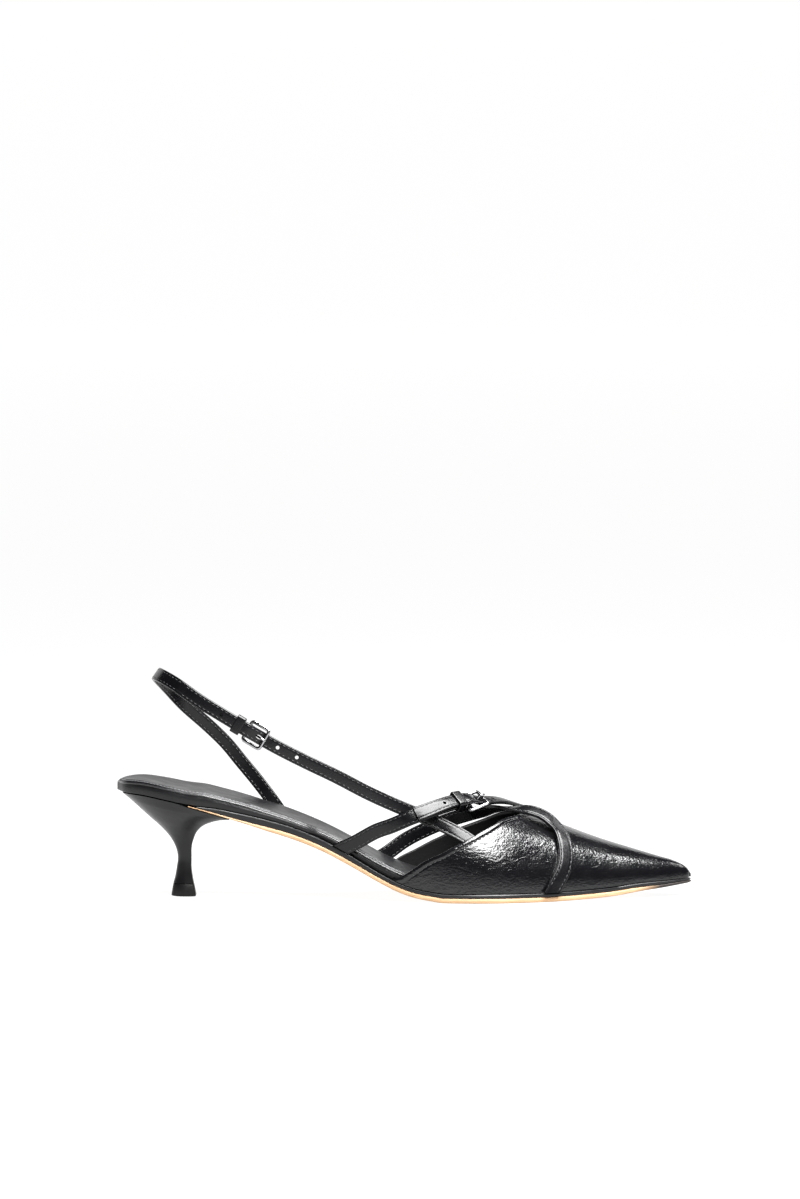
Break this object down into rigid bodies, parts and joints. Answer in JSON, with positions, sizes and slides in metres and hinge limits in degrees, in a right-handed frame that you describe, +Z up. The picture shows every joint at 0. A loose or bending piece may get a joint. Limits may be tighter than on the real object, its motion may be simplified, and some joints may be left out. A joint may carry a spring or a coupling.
{
  "type": "slingback pump",
  "caption": "Right pointed-toe slingback pump on a low flared heel, with two instep straps that cross over an open throat and small square buckles.",
  "frame": {"origin": "bottom centre of the bounding box, on the floor that the heel tip and the tread stand on", "axes": "+X from heel to toe along the shoe, +Y toward the big-toe side, +Z up"},
  "size_m": [0.262, 0.074, 0.1046],
  "materials": {
    "outsole_leather": "tan sole leather, smooth cut edge, satin",
    "rand_leather": "black leather, satin",
    "footbed_lining": "black wrapped footbed, semi matte",
    "heel_cover": "black lacquered heel, satin",
    "heel_tip_rubber": "black top piece, semi matte",
    "upper_leather": "black crinkled glossy leather",
    "strap_leather": "black glossy leather with stitched edges",
    "buckle_metal": "polished silver-coloured metal"
  },
  "bodies": {
    "root": {"outsole": "outsole_leather", "rand": "rand_leather", "insole": "footbed_lining", "heel": "heel_cover", "heel_tip": "heel_tip_rubber", "vamp": "upper_leather", "sling_strap": "strap_leather", "sling_billet": "strap_leather", "sling_keeper": "strap_leather", "sling_buckle": "buckle_metal", "sling_prong": "buckle_metal", "instep_strap": "strap_leather", "instep_billet": "strap_leather", "instep_keeper": "strap_leather", "instep_buckle": "buckle_metal", "instep_prong": "buckle_metal", "cross_strap": "strap_leather"}
  },
  "joints": []
}
